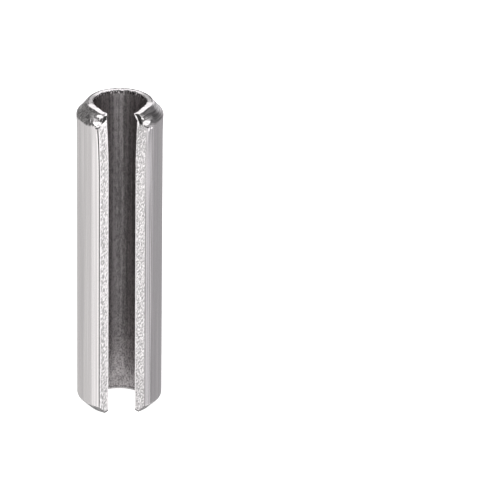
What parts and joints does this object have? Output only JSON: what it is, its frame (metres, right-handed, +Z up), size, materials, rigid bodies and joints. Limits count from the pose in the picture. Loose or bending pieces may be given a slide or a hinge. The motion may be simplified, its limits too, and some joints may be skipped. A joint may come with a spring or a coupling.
{
  "type": "slotted spring pin",
  "caption": "Rolled strip-steel tube pin with a full-length slot, a formed lead-in cone at one end and a small chamfer at the other; springs to grip the hole it is driven into.",
  "frame": {"origin": "on the pin's axis, at its lower end face (the end with the small chamfer)", "axes": "+Z up the axis to the lead-in end, slot facing -Y, +X to the right of someone who faces the slot"},
  "size_m": [0.0104, 0.0096, 0.0404],
  "materials": {
    "stainless_strip": "bare stainless spring steel, drawn lengthwise outside, duller in the bore, sheared and grainy on the slot faces"
  },
  "bodies": {
    "root": {"spring_pin": "stainless_strip"}
  },
  "joints": []
}
